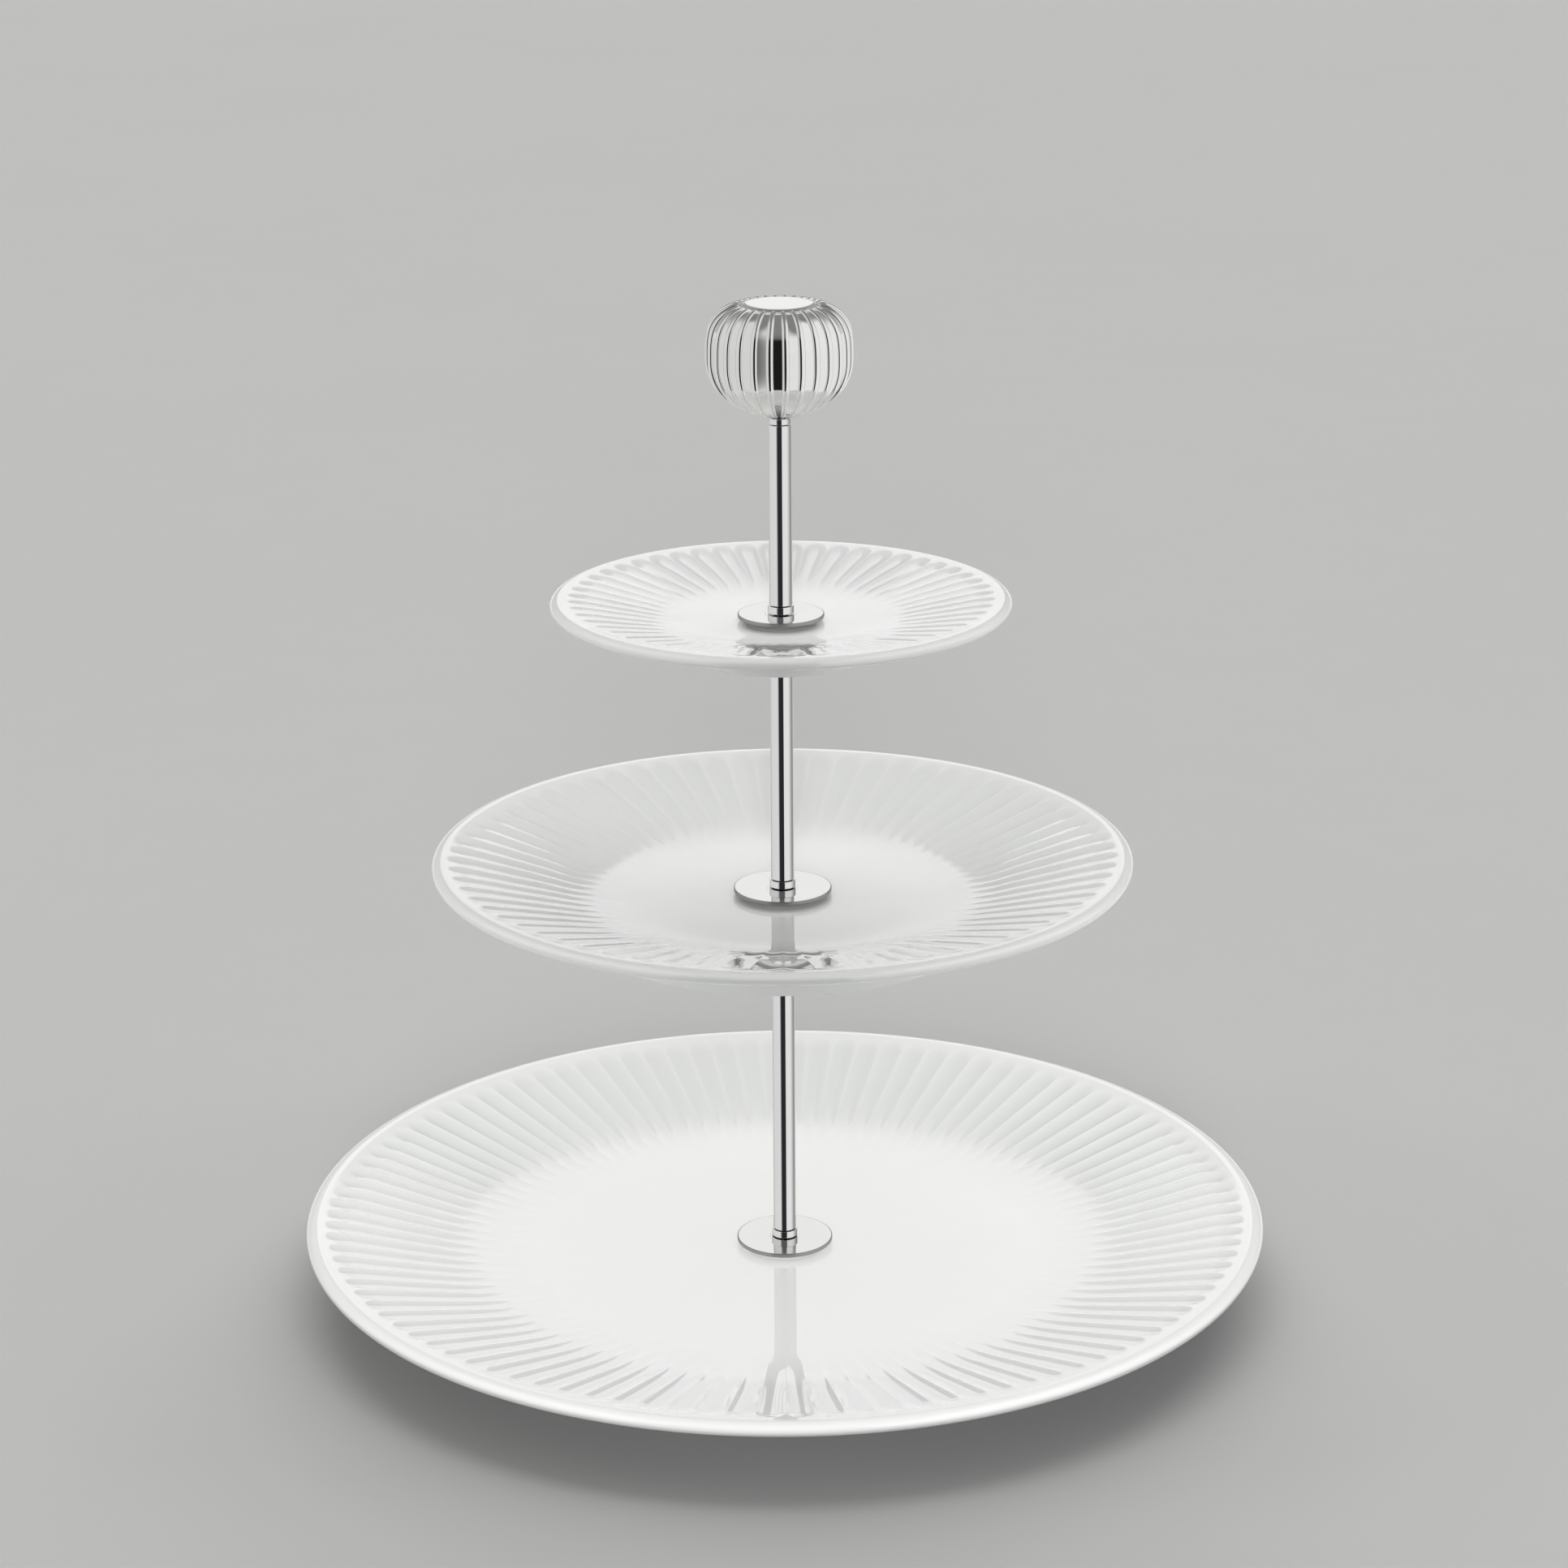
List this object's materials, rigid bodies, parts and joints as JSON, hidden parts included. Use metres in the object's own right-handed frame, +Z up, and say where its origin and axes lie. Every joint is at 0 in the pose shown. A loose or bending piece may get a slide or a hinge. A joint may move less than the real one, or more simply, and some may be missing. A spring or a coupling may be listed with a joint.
{
  "type": "tiered cake stand",
  "caption": "Three fluted porcelain plates of falling size on a thin screw-together metal rod, with a ribbed metal knob on top.",
  "frame": {"origin": "centre of the bottom plate's foot ring, on the table", "axes": "+Z up the rod, through the plates to the knob; +X and +Y along the table"},
  "size_m": [0.3, 0.3, 0.3102],
  "materials": {
    "porcelain": "glossy white glaze",
    "polished_steel": "mirror polished",
    "knob_chrome": "mirror polished",
    "thread_steel": "plain machined",
    "silicone": "soft translucent white"
  },
  "bodies": {
    "base": {"bottom_plate": "porcelain", "bottom_grommet": "silicone", "bottom_washer": "thread_steel", "base_screw": "thread_steel", "bottom_gasket": "silicone", "bottom_disc": "polished_steel", "bottom_collar": "polished_steel", "lower_rod": "polished_steel", "middle_stud": "thread_steel", "middle_washer": "thread_steel", "middle_grommet": "silicone", "middle_plate": "porcelain", "middle_gasket": "silicone", "middle_disc": "polished_steel"},
    "middle_collar": {"middle_collar": "polished_steel"},
    "middle_rod": {"middle_rod": "polished_steel", "upper_stud": "thread_steel", "top_washer": "thread_steel", "top_grommet": "silicone", "top_plate": "porcelain", "top_gasket": "silicone", "top_disc": "polished_steel"},
    "top_collar": {"top_collar": "polished_steel"},
    "upper_rod": {"upper_rod": "polished_steel", "knob_stud": "thread_steel"},
    "knob_ferrule": {"knob_ferrule": "polished_steel"},
    "knob": {"knob": "knob_chrome"}
  },
  "joints": [
    {"name": "middle_rod_lift", "type": "slide", "parent": "base", "child": "middle_collar", "axis": [0, 0, 1], "range_m": [0, 0.007]},
    {"name": "middle_rod_turn", "type": "hinge", "parent": "middle_collar", "child": "middle_rod", "pos_m": [0, 0, 0.13185], "axis": [0, 0, 1], "range_deg": [0, 3600]},
    {"name": "upper_rod_lift", "type": "slide", "parent": "middle_rod", "child": "top_collar", "axis": [0, 0, 1], "range_m": [0, 0.007]},
    {"name": "upper_rod_turn", "type": "hinge", "parent": "top_collar", "child": "upper_rod", "pos_m": [0, 0, 0.2188], "axis": [0, 0, 1], "range_deg": [0, 3600]},
    {"name": "knob_lift", "type": "slide", "parent": "upper_rod", "child": "knob_ferrule", "axis": [0, 0, 1], "range_m": [0, 0.007]},
    {"name": "knob_turn", "type": "hinge", "parent": "knob_ferrule", "child": "knob", "pos_m": [0, 0, 0.27615], "axis": [0, 0, 1], "range_deg": [0, 3600]}
  ],
  "couplings": [
    {"joint": "middle_rod_turn", "follows": "middle_rod_lift", "rad_per_m": 8976},
    {"joint": "upper_rod_turn", "follows": "upper_rod_lift", "rad_per_m": 8976},
    {"joint": "knob_turn", "follows": "knob_lift", "rad_per_m": 8976}
  ]
}
